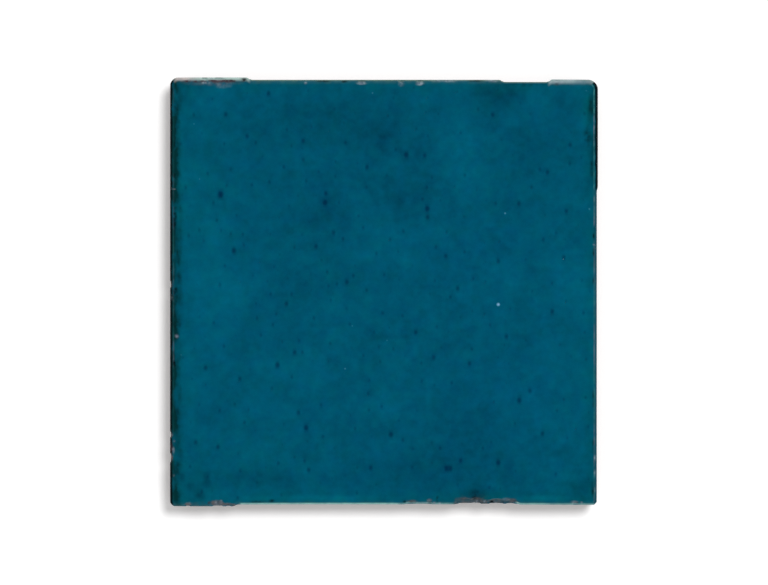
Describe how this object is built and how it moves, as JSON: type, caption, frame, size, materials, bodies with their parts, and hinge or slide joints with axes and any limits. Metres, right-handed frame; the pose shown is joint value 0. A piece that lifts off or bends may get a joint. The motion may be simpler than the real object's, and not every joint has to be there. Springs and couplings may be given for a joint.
{
  "type": "wall tile",
  "caption": "Square glazed ceramic wall tile with uneven, chipped edges, a gently rolling face and a keyed back.",
  "frame": {"origin": "under the middle of the tile, on the plane of its keyed back", "axes": "+X along the tile's width, +Y along its length, +Z out of the glazed face"},
  "size_m": [0.1, 0.1003, 0.0102],
  "materials": {
    "glaze": "gloss"
  },
  "bodies": {
    "root": {"tile": "glaze"}
  },
  "joints": []
}
